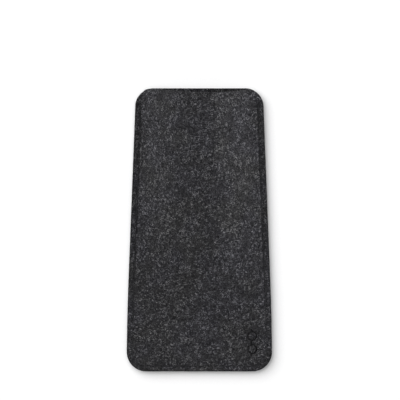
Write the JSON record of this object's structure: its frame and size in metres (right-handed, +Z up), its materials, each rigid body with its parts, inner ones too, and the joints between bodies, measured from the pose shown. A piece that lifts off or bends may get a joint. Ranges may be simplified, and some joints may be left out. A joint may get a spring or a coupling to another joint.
{
  "type": "eyeglasses case",
  "caption": "Slim tapered felt sleeve with rounded corners, stitched along its sides and closed end, open at one end to hold folded eyeglasses.",
  "frame": {"origin": "under the middle of the sleeve, on the surface that its back panel lies on", "axes": "+Z up through the front panel, +Y along the sleeve towards its open mouth, +X to the right when it is seen from above with the mouth at the top"},
  "size_m": [0.0922, 0.18, 0.0233],
  "materials": {
    "felt": "dense needled felt, matt anthracite marl with pale grey fibres",
    "thread": "twisted polyester sewing thread, near black, faint sheen"
  },
  "bodies": {
    "root": {"back_panel": "felt", "front_panel": "felt", "needle_thread": "thread", "bobbin_thread": "thread"}
  },
  "joints": []
}
